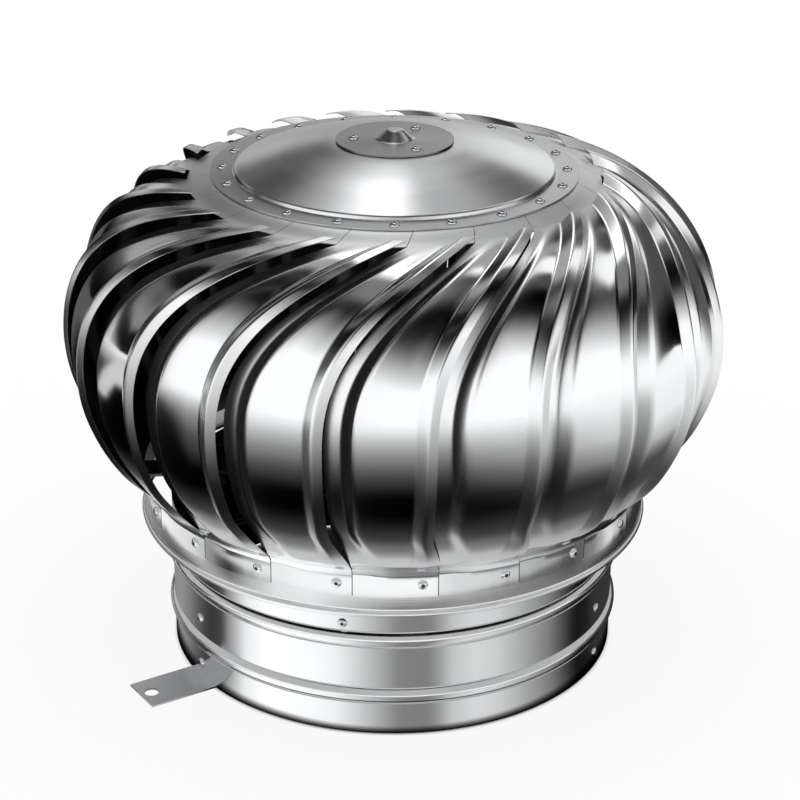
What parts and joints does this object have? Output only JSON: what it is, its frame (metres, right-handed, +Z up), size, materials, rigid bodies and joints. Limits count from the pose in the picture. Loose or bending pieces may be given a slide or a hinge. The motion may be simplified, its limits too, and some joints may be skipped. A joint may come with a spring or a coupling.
{
  "type": "rotating chimney cowl",
  "caption": "Round chimney cowl: a ring of curved polished vanes under a domed cap turns on a spindle over a beaded neck pipe with foot straps",
  "frame": {"origin": "On the spindle's axis, at the underside of the foot straps.", "axes": "+Z is up along the spindle. -Y is the pictured front, +X is to the right in the picture."},
  "size_m": [0.4308, 0.4308, 0.3552],
  "materials": {
    "polished_stainless": "mirror polished",
    "satin_stainless": "satin",
    "plain_steel": "plain mill",
    "bearing_bronze": "turned"
  },
  "bodies": {
    "neck": {"neck_pipe": "polished_stainless", "foot_strap_left": "satin_stainless", "foot_strap_back": "satin_stainless", "strap_plate_right": "satin_stainless", "strap_rivets": "satin_stainless", "neck_spider": "plain_steel", "spider_rivets": "satin_stainless", "spindle": "plain_steel", "spindle_tail_nut": "plain_steel", "spindle_head_nut": "plain_steel"},
    "rotor": {"vane_01": "polished_stainless", "vane_02": "polished_stainless", "vane_03": "polished_stainless", "vane_04": "polished_stainless", "vane_05": "polished_stainless", "vane_06": "polished_stainless", "vane_07": "polished_stainless", "vane_08": "polished_stainless", "vane_09": "polished_stainless", "vane_10": "polished_stainless", "vane_11": "polished_stainless", "vane_12": "polished_stainless", "vane_13": "polished_stainless", "vane_14": "polished_stainless", "vane_15": "polished_stainless", "vane_16": "polished_stainless", "vane_17": "polished_stainless", "vane_18": "polished_stainless", "vane_19": "polished_stainless", "vane_20": "polished_stainless", "foot_rivets": "satin_stainless", "head_rivets": "satin_stainless", "cap": "polished_stainless", "centre_disc": "polished_stainless", "disc_rivets": "satin_stainless", "upper_hub": "bearing_bronze", "rotor_ring": "polished_stainless", "rotor_cross": "plain_steel", "lower_bush": "bearing_bronze"}
  },
  "joints": [
    {"name": "rotor_spin", "type": "hinge", "parent": "neck", "child": "rotor", "pos_m": [0, 0, 0.2], "axis": [0, 0, 1], "continuous": true}
  ]
}
